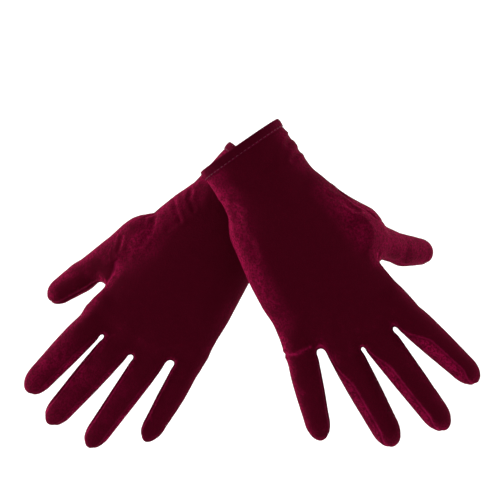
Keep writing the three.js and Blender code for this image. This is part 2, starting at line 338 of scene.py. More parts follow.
# The soft pads of the hand, from one place to another, with the radius at both ends and the fillet
# that runs each into the hand: the foot of the thumb, the heel, and the web between thumb and hand.
PADS = {
    "right": (
        ((18.6, 54, -5), (35, 84, -11), 12.0, 12.0, 12.0),
        ((-25, 50, -5), (-29, 92, -3), 12.5, 12.0, 12.0),
        ((24, 90, -7), (29, 104.5, -8), 8.0, 4.6, 7.0),
    ),
    "left": (
        ((19.4, 54, -5), (34.5, 88, -10), 12.6, 10.6, 12.0),
        ((-21.5, 50, -5), (-27, 92, -3), 12.0, 12.0, 12.0),
        ((27, 98, -7), (34.5, 118, -8), 8.0, 5.2, 7.0),
    ),
}
FINGER_FILLET, THUMB_FILLET = 3.2, 8.5
FAR = 30.0  # a distance that stands for everything further off

# The grid on which the distances are worked out, and the room round the hand and its digits.
GRID_LOW, GRID_HIGH = (-76.0, -5.0, -26.0), (50.0, 230.0, 24.0)
HAND_LOW, HAND_HIGH = (-62, -8, -22), (42, 152, 20)
WINDOW_MARGIN = 11.0
FINGER_ROOM, THUMB_ROOM, THUMB_FOOT_ROOM, THUMB_PALM_ROOM = 8, 12, 26, 14


def smooth_least(a, b, blend):
    """The smaller of two distances, with a fillet where they are close."""
    share = np.clip(0.5 + 0.5 * (b - a) / blend, 0, 1)
    return b * (1 - share) + a * share - blend * share * (1 - share)


def eased(share):
    """A share from 0 to 1, made slow at both ends."""
    return share * share * (3 - 2 * share)


def curve_through(x, xs, ys):
    """A smooth curve through the given places, by cubic pieces with averaged slopes."""
    xs, ys = np.asarray(xs, float), np.asarray(ys, float)
    slopes = np.gradient(ys, xs)
    x = np.clip(x, xs[0], xs[-1])
    i = np.clip(np.searchsorted(xs, x) - 1, 0, len(xs) - 2)
    width = xs[i + 1] - xs[i]
    t = (x - xs[i]) / width
    return (
        (2 * t**3 - 3 * t**2 + 1) * ys[i]
        + (t**3 - 2 * t**2 + t) * width * slopes[i]
        + (-2 * t**3 + 3 * t**2) * ys[i + 1]
        + (t**3 - t**2) * width * slopes[i + 1]
    )


def rod_distance(points, bone, behind, length, radius, depth, end_reach):
    """Distance from a tapered oval rod along a bone; its half-width is a function of the way."""
    offset = points - (bone["start"] - bone["forward"] * behind)
    way = offset @ bone["forward"]
    held = np.clip(way, 0, length)
    past = way - held
    width = radius(held)
    end = np.where(past > 0, end_reach, width)
    across, out = offset @ bone["sideways"], offset @ bone["dorsal"]
    thick = width * depth
    near = np.sqrt((across / width) ** 2 + (out / thick) ** 2 + (past / end) ** 2) + 1e-6
    slope = np.sqrt((across / width**2) ** 2 + (out / thick**2) ** 2 + (past / end**2) ** 2) + 1e-6
    return (near - 1) * near / slope


def capsule_distance(points, start, end, start_radius, end_radius):
    """Distance from a round-ended rod with a different radius at each end."""
    start, end = np.array(start, float), np.array(end, float)
    line = end - start
    share = np.clip((points - start) @ line / (line @ line), 0, 1)
    radius = start_radius + (end_radius - start_radius) * share
    return np.linalg.norm(points - start - share[..., None] * line, axis=-1) - radius


def hand_distance(side, points):
    """Distance from the hand without its digits and pads."""
    across, along, out = points[..., 0], points[..., 1], points[..., 2]
    ulnar = curve_through(along, HAND_ALONG, HAND_ULNAR[side])
    radial = curve_through(along, HAND_ALONG, HAND_RADIAL[side])
    half = (radial - ulnar) / 2
    end = curve_through(across, HAND_END_ACROSS, HAND_END_ALONG)
    thin = eased(np.clip((end - along) / WEB_TAPER, 0, 1))
    depth = np.where(
        out > 0,
        curve_through(along, HAND_ALONG, HAND_BACK),
        curve_through(along, HAND_ALONG, HAND_PALM),
    )
    depth = WEB_THICKNESS + (depth - WEB_THICKNESS) * thin
    x, z = np.abs(across - (radial + ulnar) / 2) / half, np.abs(out) / depth
    p = HAND_SQUARENESS
    near = (x**p + z**p + 1e-9) ** (1 / p)
    slope = np.sqrt((x ** (p - 1) / half) ** 2 + (z ** (p - 1) / depth) ** 2)
    slope = near ** (1 - p) * slope + 1e-6
    walls = (near - 1) / slope
    return -smooth_least(-walls, -(along - end), WEB_ROUNDING)


def finger_radius(side, name, length):
    """A finger's half-width as a function of the way along its rod."""
    root, middle, pad, _ = FINGER_SIZES[side][name]
    at = (0, ROOT_REACH, MIDDLE_AT * (length - ROOT_REACH) + ROOT_REACH, length)
    return lambda way: curve_through(way, at, (root * INSIDE_SHARE, root, middle, pad))


def glove_field(hand, cell):
    """The field of distances for one glove on a grid of cells, with the grid's lowest corner."""
    thumb_tip = hand.digits["thumb"]["tip"]["end"]
    low, high = np.array(GRID_LOW), np.array(GRID_HIGH)
    low[2] = min(low[2], thumb_tip[2] - THUMB_PALM_ROOM)
    high[0] = max(high[0], thumb_tip[0] + THUMB_ROOM)
    steps = [np.arange(a, b, cell) for a, b in zip(low, high)]
    field = np.full([len(s) for s in steps], FAR, np.float32)

    def window(lowest, highest):
        """The cells of the grid round a box of places."""
        cuts = []
        for axis in range(3):
            a = np.searchsorted(steps[axis], lowest[axis] - WINDOW_MARGIN)
            b = np.searchsorted(steps[axis], highest[axis] + WINDOW_MARGIN)
            cuts.append(slice(max(a - 1, 0), b + 1))
        return tuple(cuts)

    def points_in(cuts):
        grids = np.meshgrid(*[steps[axis][cuts[axis]] for axis in range(3)], indexing="ij")
        return np.stack(grids, -1)

    cuts = window(HAND_LOW, HAND_HIGH)
    points = points_in(cuts)
    palm = hand_distance(hand.side, points)
    for start, end, start_radius, end_radius, fillet in PADS[hand.side]:
        pad = capsule_distance(points, start, end, start_radius, end_radius)
        palm = smooth_least(palm, pad, fillet)
    field[cuts] = palm
    palm_field = field.copy()
    thumb_field = np.full_like(field, FAR)

    for name in FINGERS:
        base, tip = hand.digits[name]["base"], hand.digits[name]["tip"]
        behind = KNUCKLE_FROM_ROOT[name] + ROOT_REACH
        root = base["start"] - base["forward"] * behind
        taper = FINGER_SIZES[hand.side][name][3]
        length = np.linalg.norm(tip["end"] - root) - taper
        ends = np.array([root, tip["end"]])
        cuts = window(ends.min(0) - FINGER_ROOM, ends.max(0) + FINGER_ROOM)
        radius = finger_radius(hand.side, name, length)
        rod = rod_distance(points_in(cuts), base, behind, length, radius, FINGER_DEPTH, taper)
        joined = smooth_least(palm_field[cuts], rod, FINGER_FILLET)
        field[cuts] = np.minimum(field[cuts], joined)

    base, tip = hand.digits["thumb"]["base"], hand.digits["thumb"]["tip"]
    inside, knuckle, middle, pad, taper = THUMB_SIZES
    ends = np.array([base["start"], tip["end"]])
    cuts = window(ends.min(0) - THUMB_FOOT_ROOM, ends.max(0) + THUMB_ROOM)
    points = points_in(cuts)
    first_length = np.linalg.norm(base["end"] - base["start"]) + THUMB_REACH
    last_length = np.linalg.norm(tip["end"] - tip["start"]) - taper
    first_places, last_places = (0, THUMB_REACH, first_length), (0, last_length / 2, last_length)

    def first_radius(way):
        return curve_through(way, first_places, (inside, knuckle, middle))

    def last_radius(way):
        return curve_through(way, last_places, (middle, middle, pad))

    first = rod_distance(points, base, THUMB_REACH, first_length, first_radius, THUMB_DEPTH, middle)
    last = rod_distance(points, tip, 0.0, last_length, last_radius, THUMB_DEPTH, taper)
    thumb = smooth_least(first, last, THUMB_BONES_FILLET)
    joined = smooth_least(palm_field[cuts], thumb, THUMB_FILLET)
    field[cuts] = np.minimum(field[cuts], joined)
    thumb_field[cuts] = thumb
    return low, field, palm_field, thumb_field


def read_field(field, low, cell, points):
    """The field's value and slope at points, by straight interpolation in its cells."""
    place = (points - low) / cell
    i = np.clip(np.floor(place).astype(int), 0, np.array(field.shape) - 2)
    t = place - i
    value = np.zeros(len(points))
    slope = np.zeros((len(points), 3))
    for corner in np.ndindex(2, 2, 2):
        weights = [t[:, a] if corner[a] else 1 - t[:, a] for a in range(3)]
        signs = [1 if corner[a] else -1 for a in range(3)]
        sample = field[i[:, 0] + corner[0], i[:, 1] + corner[1], i[:, 2] + corner[2]]
        value += weights[0] * weights[1] * weights[2] * sample
        slope[:, 0] += signs[0] * weights[1] * weights[2] * sample
        slope[:, 1] += signs[1] * weights[0] * weights[2] * sample
        slope[:, 2] += signs[2] * weights[0] * weights[1] * sample
    return value, slope / cell


def settled_on(field, low, cell, points):
    """Points moved one step back onto the surface where the field is zero."""
    value, slope = read_field(field, low, cell, points)
    return points - slope * (value / np.maximum((slope**2).sum(1), 1e-6))[:, None]


def net_of(field, low, cell):
    """Points and square faces of the surface where the field is zero, facing out."""
    inside = field < 0
    shape = np.array(field.shape) - 1
    corners = np.array(list(np.ndindex(2, 2, 2)))
    count = np.zeros(shape, np.int8)
    for c in corners:
        count += inside[c[0] : c[0] + shape[0], c[1] : c[1] + shape[1], c[2] : c[2] + shape[2]]
    cells = np.argwhere((count > 0) & (count < 8))
    total, crossings = np.zeros((len(cells), 3)), np.zeros(len(cells))
    for a in corners:
        for axis in range(3):
            if a[axis]:
                continue
            b = a.copy()
            b[axis] = 1
            fa, fb = field[tuple((cells + a).T)], field[tuple((cells + b).T)]
            cut = (fa < 0) != (fb < 0)
            share = np.where(cut, fa / np.where(cut, fa - fb, 1), 0)
            point = cells + a + share[:, None] * (b - a)
            total += np.where(cut[:, None], point, 0)
            crossings += cut
    points = low + cell * total / crossings[:, None]
    number = np.full(shape, -1, np.int64)
    number[tuple(cells.T)] = np.arange(len(cells))
    faces = []
    for axis in range(3):
        one, two = [a for a in range(3) if a != axis]
        where = np.argwhere(inside != np.roll(inside, -1, axis))
        where = where[(where[:, one] > 0) & (where[:, two] > 0)]
        where = where[(where < shape).all(1)]
        leaving = inside[tuple(where.T)]
        around = []
        for u, v in ((1, 1), (0, 1), (0, 0), (1, 0)):
            other = where.copy()
            other[:, [one, two]] -= (u, v)
            around.append(number[tuple(other.T)])
        quads = np.stack(around, 1)
        flip = leaving if axis == 1 else ~leaving
        quads[flip] = quads[flip][:, ::-1]
        faces.append(quads)
    faces = np.vstack(faces)
    faces = faces[(faces >= 0).all(1)]
    for _ in range(3):
        points = settled_on(field, low, cell, points)
    return points, faces


class Net:
    """A surface of square faces with the sums that smoothing it needs."""

    def __init__(self, points, faces):
        self.points, self.faces = points, faces
        pairs = np.vstack([faces[:, [k, (k + 1) % 4]] for k in range(4)])
        self.pairs = np.unique(np.sort(pairs, 1), axis=0)
        self.degree = np.bincount(self.pairs.ravel(), minlength=len(points)).astype(float)

    def averaged(self, values, times, share=0.5):
        """Values at the points, each drawn some times towards the mean of those beside it."""
        values = np.array(values, float)
        table = values.reshape(len(values), -1)
        a, b = self.pairs[:, 0], self.pairs[:, 1]
        for _ in range(times):
            around = np.zeros_like(table)
            for k in range(table.shape[1]):
                around[:, k] = np.bincount(a, table[b, k], len(table))
                around[:, k] += np.bincount(b, table[a, k], len(table))
            table += share * (around / self.degree[:, None] - table)
        return table.reshape(values.shape)

    def normals(self):
        corner = self.points[self.faces]
        across = np.cross(corner[:, 2] - corner[:, 0], corner[:, 3] - corner[:, 1])
        result = np.zeros_like(self.points)
        for k in range(4):
            for axis in range(3):
                result[:, axis] += np.bincount(self.faces[:, k], across[:, axis], len(self.points))
        return result / np.maximum(np.linalg.norm(result, axis=1, keepdims=True), 1e-9)


def relaxed(net, field, low, cell, times):
    """Evens out the squares along the surface without leaving it."""
    for _ in range(times):
        net.points = settled_on(field, low, cell, net.averaged(net.points, 1, 0.6))
    return net


# -------- puckers in the cloth
# Where a stretch glove is not pulled tight it puckers: round the wrist, at the foot of the thumb
# and at the roots of the fingers. Those places are cut a little large on a coarse copy of the
# glove, and a cloth simulation finds where the extra goes. Its shape is then laid over the fine
# surface.

FINE_CELL = 0.85
COARSE_CELL = 3.2
HEM_DEPTH = 6.5
PUCKER_CAP = 1.7
PUCKER_BREADTH = 14  # rounds of averaging that a pucker has to stand out from
SIMULATED_FRAMES = 18
SIMULATED_SCALE = 10  # cloth settles more evenly when it is not tiny
HELD_ABOVE_HEM = 10.0

# Where the cloth is cut large: the place along, the spread of it, and how much.
WRIST_SLACK = (34, 17, 0.9)
THUMB_FOOT_SLACK = (0, 9, 0.9)
ROOT_SLACK = (-9, 7, 0.45)
SLACK_EVERYWHERE = 0.06
FINGER_REACH = 15  # cloth within this of a finger's middle line belongs to it

# A light limp knit that gives a little every way, held at the hem and pressed out from inside.
# Where it is loose it shrinks by less than nothing, so it grows.
KNIT = {
    "quality": 6,
    "mass": 0.15,
    "tension_stiffness": 12,
    "compression_stiffness": 12,
    "shear_stiffness": 4,
    "bending_stiffness": 0.05,
    "vertex_group_mass": "held",
    "pin_stiffness": 1.0,
    "vertex_group_shrink": "loose",
    "shrink_min": 0.0,
    "shrink_max": -0.11,
    "use_pressure": True,
    "uniform_pressure_force": 0.25,
}


def bell(place, middle, spread):
    """1 at the middle, falling smoothly to nothing on both sides."""
    return np.exp(-(((place - middle) / spread) ** 2))


def thumb_less_hand(points, thumb_field, palm_field, low, cell):
    """How much nearer points are to the hand than to the thumb; below zero on the thumb."""
    thumb, palm = (read_field(field, low, cell, points)[0] for field in (thumb_field, palm_field))
    return np.where(thumb > FINGER_REACH, FINGER_REACH, thumb - palm)


def slackness(hand, points, thumb_less_palm):
    """How loose the cloth is at each point, from 0 to 1."""
    middle, spread, most = WRIST_SLACK
    wrist = bell(points[:, 1], middle, spread) * most
    middle, spread, most = THUMB_FOOT_SLACK
    thumb_foot = bell(thumb_less_palm, middle, spread) * most
    middle, spread, most = ROOT_SLACK
    roots = np.zeros(len(points))
    for name in FINGERS:
        base = hand.digits[name]["base"]
        way = (points - base["start"]) @ base["forward"]
        off = np.linalg.norm(points - base["start"] - way[:, None] * base["forward"], axis=1)
        roots = np.maximum(roots, bell(way, middle, spread) * (off < FINGER_REACH) * most)
    return np.clip(wrist + thumb_foot + roots + SLACK_EVERYWHERE, 0, 1)


def puckered(net, slack):
    """How far the cloth moves from each point of a coarse net."""
    points = (net.points * MM * SIMULATED_SCALE).tolist()
    cloth_object = mesh_object("loose_cloth", points, net.faces.tolist())
    held = cloth_object.vertex_groups.new(name="held")
    loose = cloth_object.vertex_groups.new(name="loose")
    pin = np.clip(1 - (net.points[:, 1] - HEM_DEPTH) / HELD_ABOVE_HEM, 0, 1)
    for i, (grip, give) in enumerate(zip(pin, slack)):
        if grip > 0:
            held.add([i], float(grip), "REPLACE")
        loose.add([i], float(give), "REPLACE")
    cloth = cloth_object.modifiers.new("cloth", "CLOTH")
    for setting, value in KNIT.items():
        setattr(cloth.settings, setting, value)
    cloth.settings.effector_weights.gravity = 0
    cloth.collision_settings.use_collision = False
    cloth.point_cache.frame_end = SIMULATED_FRAMES
    for step in range(1, SIMULATED_FRAMES + 1):
        bpy.context.scene.frame_set(step)
    settled = cloth_object.evaluated_get(bpy.context.evaluated_depsgraph_get()).to_mesh()
    moved = np.zeros(len(net.points) * 3)
    settled.vertices.foreach_get("co", moved)
    moved = moved.reshape(-1, 3) / (MM * SIMULATED_SCALE) - net.points
    mesh = cloth_object.data
    bpy.data.objects.remove(cloth_object)
    bpy.data.meshes.remove(mesh)
    bpy.context.scene.frame_set(1)
    out = (moved * net.normals()).sum(1)
    out -= net.averaged(out, PUCKER_BREADTH)
    return np.clip(out, -PUCKER_CAP, PUCKER_CAP) * np.clip(0.25 + slack, 0, 1)


def laid_over(values, coarse_points, fine_net):
    """Values of a coarse net at the points of a fine one."""
    tree = kdtree.KDTree(len(coarse_points))
    for i, point in enumerate(coarse_points):
        tree.insert(point, i)
    tree.balance()
    result = np.zeros(len(fine_net.points))
    for i, point in enumerate(fine_net.points):
        near = tree.find_n(point, 4)
        weights = [1 / (distance + 0.3) ** 2 for _, _, distance in near]
        result[i] = sum(w * values[j] for w, (_, j, _) in zip(weights, near)) / sum(weights)
    return fine_net.averaged(result, 6)


# -------- seams and folds
# A dress glove is sewn inside out: one seam down each side of the hand, a strip called a
# fourchette down each gap between two fingers, and a thumb that is set into a ring. Turned out,
# every seam is a fine groove with the pile standing up on both sides of it.

FOURCHETTE_HALF = 3.5
WEB_RADIUS = 9.0  # of a finger where its strip begins
OWNED_BEHIND_ROOT = 12

# Where the seam between a finger's back and its side strip runs, from 0 at the middle of the back
# to 1 at the edge: on the side towards the little finger, and on the side towards the thumb.
STRIP_AT = {  # of the index, middle, ring and little finger
    "right": ((0.12, 1.0), (0.48, 0.97), (0.45, 0.97), (1.0, 0.9)),
    "left": ((0.62, 1.0), (0.7, 0.82), (0.72, 0.85), (1.0, 0.85)),
}
PALM_STRIP_AT = 0.86

# The side from which the light falls, for the painted side light: 1 towards the thumb, -1 away from it.
LIGHT_SIDE = {"right": -1, "left": 1}
# Painted side light: the least share of painted sheen, the share midway, and how fast it grows as the surface
# turns towards the light.
SIDE_LIGHT_LEAST, SIDE_LIGHT_MIDDLE, SIDE_LIGHT_TURN = 0.3, 0.5, 1.3
THUMB_SHEEN, THUMB_SHEEN_WITHIN = 0.7, 14  # of the painted sheen on and around the thumb, and how far it reaches
STRIP_OPENS_BEHIND, STRIP_OPENS_OVER = 10, 22.0  # the knuckle, and how slowly
STRIP_CLOSES_OVER = 14  # before the fingertip
EDGE_LIGHT, EDGE_LIGHT_TURN, EDGE_LIGHT_OVER = 0.62, 0.5, 8  # painted light across a finger's back, more on the side towards the light
BACK_LIGHT_BEHIND, BACK_LIGHT_OVER = 2, 14  # painted light on a finger's back starts this far behind the knuckle, and grows over this
STRIP_LIGHT, STRIP_LIGHT_OVER = 1.7, 2.6  # of the painted light on a strip's pile, and how soon inside its seam

# How much painted light lies on each finger's back, and along each edge of the hand: how much,
# over what width, and from where to where along it.
FINGER_BACK_LIGHT = {
    "right": {"index": 0.05, "middle": 0.0, "ring": 0.1, "little": 0.1},
    "left": {"index": 0.75, "middle": 0.6, "ring": 0.3, "little": 0.1},
}
HAND_EDGE_LIGHT = {
    "right": (
        ("ulnar", 1.0, 15.0, 0, 118),
        ("radial", 0.8, 10.0, 2, 44),
        ("radial", 0.75, 13.0, 44, 104),
    ),
    "left": (("ulnar", 0.15, 8.0, 0, 110), ("radial", 0.8, 16.0, 14, 110)),
}
CUT_BEYOND_ROOT = 2.5  # where the cloth of a finger is divided from the panels
KNUCKLE_END = 8.0
MIDDLE_REACH = 8.6
THUMB_CUT = -4.5
THUMB_RING_BEFORE = 6  # the ring seam stops this far beyond the thumb's first hinge
SEAM_DEPTH, SEAM_WIDTH = 0.5, 0.95
RIDGE_HEIGHT, RIDGE_OFF_SEAM, RIDGE_WIDTH = 0.16, 2.2, 1.1  # of the pile beside a seam
FOLD_RIDGE = 0.6  # of the fold's depth, on both sides of it
SOFTENING = 0.8  # how much of the skin's unevenness is evened out
FOLD_HIGHLIGHT = 1.8  # painted highlight along a fold, where the fold parts the pile
EASED_OVER = 4  # above the hem, before the cloth is free to move
BACK_FROM = -2  # folds are on the back, from just under its edge

# Folds on the back of each glove: places across and along, the depth and the width, and how strong
# the painted highlight along the fold is.
FOLDS = {
    "right": [
        ([(-54, 122), (-46, 126.5), (-36, 128.5)], 0.6, 1.1, 1.0),
        ([(-28, 24), (-25.5, 32), (-26.5, 41)], 0.6, 2.0, 0.25),
        ([(-30, 45), (-28.5, 54), (-31, 63)], 0.55, 2.0, 0.2),
        ([(-24, 28), (-21.5, 35)], 0.5, 1.5, 0.3),
        ([(25, 17), (29.5, 13.5)], 0.9, 1.6, 0.35),
        ([(22, 27), (29, 24)], 0.8, 1.6, 0.35),
        ([(27, 56), (33, 65), (37, 76)], 0.5, 1.5, 0.3),
        ([(32, 56), (38, 65), (42, 74)], 0.5, 1.4, 0.3),
        ([(22, 70), (28, 80), (30, 92)], 0.4, 1.8, 0.0),
    ],
    "left": [
        ([(29, 40), (25, 46), (19, 49)], 0.6, 1.4, 0.2),
        ([(33, 52), (27, 57), (21, 60)], 0.55, 1.4, 0.2),
        ([(36, 68), (31.5, 77), (31, 90)], 0.5, 1.6, 0.1),
        ([(44, 92), (40, 100)], 0.5, 1.3, 0.3),
        ([(48, 104), (43, 110)], 0.45, 1.3, 0.3),
        ([(22, 60), (24, 70)], 0.4, 1.4, 0.1),
    ],
}


def line_distance(points, line):
    """Distance in the plane of the hand from points to a line with corners."""
    best = np.full(len(points), 1e3)
    for start, end in zip(np.array(line[:-1], float), np.array(line[1:], float)):
        way = end - start
        share = np.clip((points[:, :2] - start) @ way / (way @ way), 0, 1)
        off = np.linalg.norm(points[:, :2] - start - share[:, None] * way, axis=1)
        best = np.minimum(best, off)
    return best


def finger_places(hand, name, points):
    """The way beyond the knuckle, the place towards the thumb and the place out of the back."""
    base = hand.digits[name]["base"]
    offset = points - base["start"]
    towards_thumb = base["sideways"] * np.sign(base["sideways"][0])
    return offset @ base["forward"], offset @ towards_thumb, offset @ base["dorsal"]


def middle_cut(digit):
    """The start and end of the bend over a digit's second hinge."""
    start = digit["base"]["end"] - digit["base"]["forward"] * MIDDLE_REACH
    return start, digit["base"]["end"] + digit["tip"]["forward"] * MIDDLE_REACH


def name_halves(piece, name, chosen, past_middle, on_back):
    """Names the four pieces of a digit: back and palm, before and past its middle hinge."""
    for part, here in (("base", chosen & ~past_middle), ("tip", chosen & past_middle)):
        piece[here & on_back] = f"{name}_{part}_back"
        piece[here & ~on_back] = f"{name}_{part}_palm"


def sorted_out(hand, points, thumb_less_palm):
    """For each point its piece of the glove, its distance from the nearest seam and its painted light."""
    along, out = points[:, 1], points[:, 2]
    piece = np.where(out > 0, "back_panel", "palm_panel").astype("<U32")
    seam = np.abs(out)
    owner_distance = np.full(len(points), 1e3)
    owner = np.full(len(points), "", "<U8")
    painted_light = np.zeros(len(points))
    light = LIGHT_SIDE[hand.side]
    places = {}
    for name in FINGERS:
        way, side, back = places[name] = finger_places(hand, name, points)
        off = np.hypot(side, back)
        mine = way > CUT_BEYOND_ROOT - KNUCKLE_FROM_ROOT[name] - OWNED_BEHIND_ROOT
        mine &= (off < owner_distance) & (off < FINGER_REACH)
        owner[mine] = name
        owner_distance[mine] = off[mine]
    for k, name in enumerate(FINGERS):
        way, side, back = places[name]
        mine = owner == name
        digit = hand.digits[name]
        start, end = middle_cut(digit)
        length = np.linalg.norm(digit["tip"]["end"] - digit["base"]["start"])
        facing = ((side > 0) & (k > 0)) | ((side < 0) & (k < 3))
        radius = np.hypot(side, back / FINGER_DEPTH)
        turn = np.arctan2(np.abs(back) / FINGER_DEPTH, np.abs(side))
        at_web = math.asin(FOURCHETTE_HALF / WEB_RADIUS)
        opened = eased(np.clip((way + STRIP_OPENS_BEHIND) / STRIP_OPENS_OVER, 0, 1))
        closing = np.sqrt(np.clip((length - way) / STRIP_CLOSES_OVER, 0.0, 1))
        towards_little, towards_thumb = (math.acos(min(u, 0.999)) for u in STRIP_AT[hand.side][k])
        strip = np.where(side < 0, towards_little, towards_thumb)
        strip = np.where(back < 0, math.acos(PALM_STRIP_AT), strip)
        strip = (at_web + (strip - at_web) * opened) * closing
        line = np.where(facing, turn - strip, turn) * radius  # below zero inside the strip
        seam[mine] = line[mine]
        # Painted light on the strip, on one side of the finger's back.
        lit = STRIP_LIGHT * np.clip((strip - turn) * radius / STRIP_LIGHT_OVER, 0, 1)
        lit = lit * (back > 0) * (side < 0) * facing
        # Painted light across the finger's back, stronger on the side towards the light.
        light_edge = np.clip(EDGE_LIGHT + EDGE_LIGHT_TURN * light * side / EDGE_LIGHT_OVER, 0, 1)
        starts = np.clip((way + BACK_LIGHT_BEHIND) / BACK_LIGHT_OVER, 0, 1)
        on_back = FINGER_BACK_LIGHT[hand.side][name] * light_edge * starts
        painted_light[mine] = np.maximum(lit, on_back * (back > 0))[mine]
        beyond = mine & (way > CUT_BEYOND_ROOT - KNUCKLE_FROM_ROOT[name])
        past_middle = (points - start) @ unit(end - start) > 0
        name_halves(piece, name, beyond, past_middle, back > 0)
        web = mine & ~beyond & facing & (np.abs(back) < FOURCHETTE_HALF)
        for other, towards in ((k - 1, 1), (k + 1, -1)):
            if 0 <= other < 4:
                pair = "_".join(FINGERS[i] for i in sorted((k, other)))
                piece[web & (side * towards > 0)] = f"fourchette_{pair}"
    # Painted light in bands along the edges of the hand.
    for edge, strength, width, begins, stops in HAND_EDGE_LIGHT[hand.side]:
        limits = HAND_ULNAR if edge == "ulnar" else HAND_RADIAL
        inward = np.abs(points[:, 0] - curve_through(along, HAND_ALONG, limits[hand.side]))
        ends = np.clip((along - begins) / 8, 0, 1) * np.clip((stops - along) / 14, 0, 1)
        painted_lit = strength * ends * np.clip(1 - inward / width, 0, 1)
        painted_light = np.maximum(painted_light, painted_lit * (owner == "") * (out > -4))
    digit = hand.digits["thumb"]
    base, tip = digit["base"], digit["tip"]
    way = (points - base["start"]) @ base["forward"]
    start, end = middle_cut(digit)
    past_middle = (points - start) @ unit(end - start) > 0
    thumb = thumb_less_palm < 0
    out_of_base, out_of_tip = ((points - bone["start"]) @ bone["dorsal"] for bone in (base, tip))
    back = np.where(past_middle, out_of_tip, out_of_base)
    inner = (points - base["start"]) @ (base["sideways"] * np.sign(base["sideways"][1])) > 0
    seam = np.where(thumb, np.where(inner, np.abs(back), WEB_RADIUS), seam)
    ring = np.abs(thumb_less_palm) * 0.75 + 1.1
    seam = np.where((way < THUMB_RING_BEFORE) & (ring < np.abs(seam)), ring, seam)
    piece[thumb & (way <= THUMB_CUT)] = "thumb_gusset"
    free = (thumb_less_palm < 3) & (way > THUMB_CUT)
    name_halves(piece, "thumb", free, past_middle, back > 0)
    piece[along < HEM_DEPTH] = "hem"
    return piece, seam, painted_light


def skin_of(hand, cell, rounds, softening):
    """The skin as a net, and how much nearer its points are to the hand than to the thumb."""
    low, field, palm_field, thumb_field = glove_field(hand, cell)
    net = relaxed(Net(*net_of(field, low, cell)), field, low, cell, rounds)
    net.points += softening * (net.averaged(net.points, 6) - net.points)
    return net, thumb_less_hand(net.points, thumb_field, palm_field, low, cell)


def glove_surface(side):
    """The finished outside of a glove: its net, the piece of each face, and its seams and painted light."""
    hand = hands[side]
    coarse, foot = skin_of(hand, COARSE_CELL, 3, 0)
    slack = slackness(hand, coarse.points, foot)
    pucker = puckered(coarse, slack)
    net, foot = skin_of(hand, FINE_CELL, 4, SOFTENING)
    _, seam, painted_light = sorted_out(hand, net.points, foot)
    normals = net.normals()
    push = laid_over(pucker, coarse.points, net)
    push -= SEAM_DEPTH * bell(seam, 0, SEAM_WIDTH)
    push += RIDGE_HEIGHT * bell(np.abs(seam), RIDGE_OFF_SEAM, RIDGE_WIDTH)
    for line, depth, width, fold_shine in FOLDS[side]:
        distance = line_distance(net.points, line)
        on_back = net.points[:, 2] > BACK_FROM
        fold = -depth * bell(distance, 0, width)
        fold += FOLD_RIDGE * depth * bell(distance, 2.0 * width, 1.1 * width)
        push += np.where(on_back, fold, 0)
        # The fold is also drawn as a painted highlight line and as painted light on its pile.
        line_seen = distance * 1.1 + 1.1 * (1 - fold_shine)
        seam = np.where(on_back & (line_seen < np.abs(seam)), line_seen, seam)
        fold_highlight = FOLD_HIGHLIGHT * fold_shine * bell(distance, 0, 1.0)
        painted_light = np.maximum(painted_light, np.where(on_back, fold_highlight, 0))
    ease = np.clip((net.points[:, 1] - HEM_DEPTH) / EASED_OVER, 0, 1)
    net.points += normals * (push * ease)[:, None]
    middles = net.points[net.faces].mean(1)
    face_foot = foot[net.faces].mean(1)
    face_piece = sorted_out(hand, middles, face_foot)[0]
    # Painted side light: more of the painted sheen where the surface faces the side the light falls from, and near
    # the thumb.
    across = net.averaged(net.normals()[:, 0], 8)
    to_the_light = across * LIGHT_SIDE[side]
    sheen_share = SIDE_LIGHT_LEAST + (1 - SIDE_LIGHT_LEAST) * np.clip(SIDE_LIGHT_MIDDLE + SIDE_LIGHT_TURN * to_the_light, 0, 1)
    by_the_thumb = np.clip(1.4 - foot / THUMB_SHEEN_WITHIN, 0, 1)
    sheen_share = np.maximum(sheen_share, THUMB_SHEEN * by_the_thumb)
    shown = {"seam": seam, "painted_light": net.averaged(painted_light, 2), "sheen_share": net.averaged(sheen_share, 4)}
    return hand, net, face_piece, shown


# -------- velvet
# Stretch velvet: a knitted ground with a short dense pile of rayon or silk. The pile swallows light
# that meets it end on, so the cloth is nearly black-red face on, and its tips catch the light where
# the surface turns away. That sheen is painted into the cloth's colour here, as painted light: a lit
# colour where the surface turns from the view, more on the side the light falls from, and varying a
# little from place to place.

# The deep colour, the painted sheen colour, and the painted highlight colour of seams and folds.
VELVET_DEEP, VELVET_LIT, VELVET_SEAM_LIGHT = "36000E", "72062E", "860E3C"
PILE_GRAIN = 1.4  # millimetres; real pile is finer, and is drawn as coarse as it needs to show
NAP_PATCH = 9.0
PILE_HEIGHT = 0.45


def per_metre(millimetres):
    return 1.0 / (millimetres * MM)


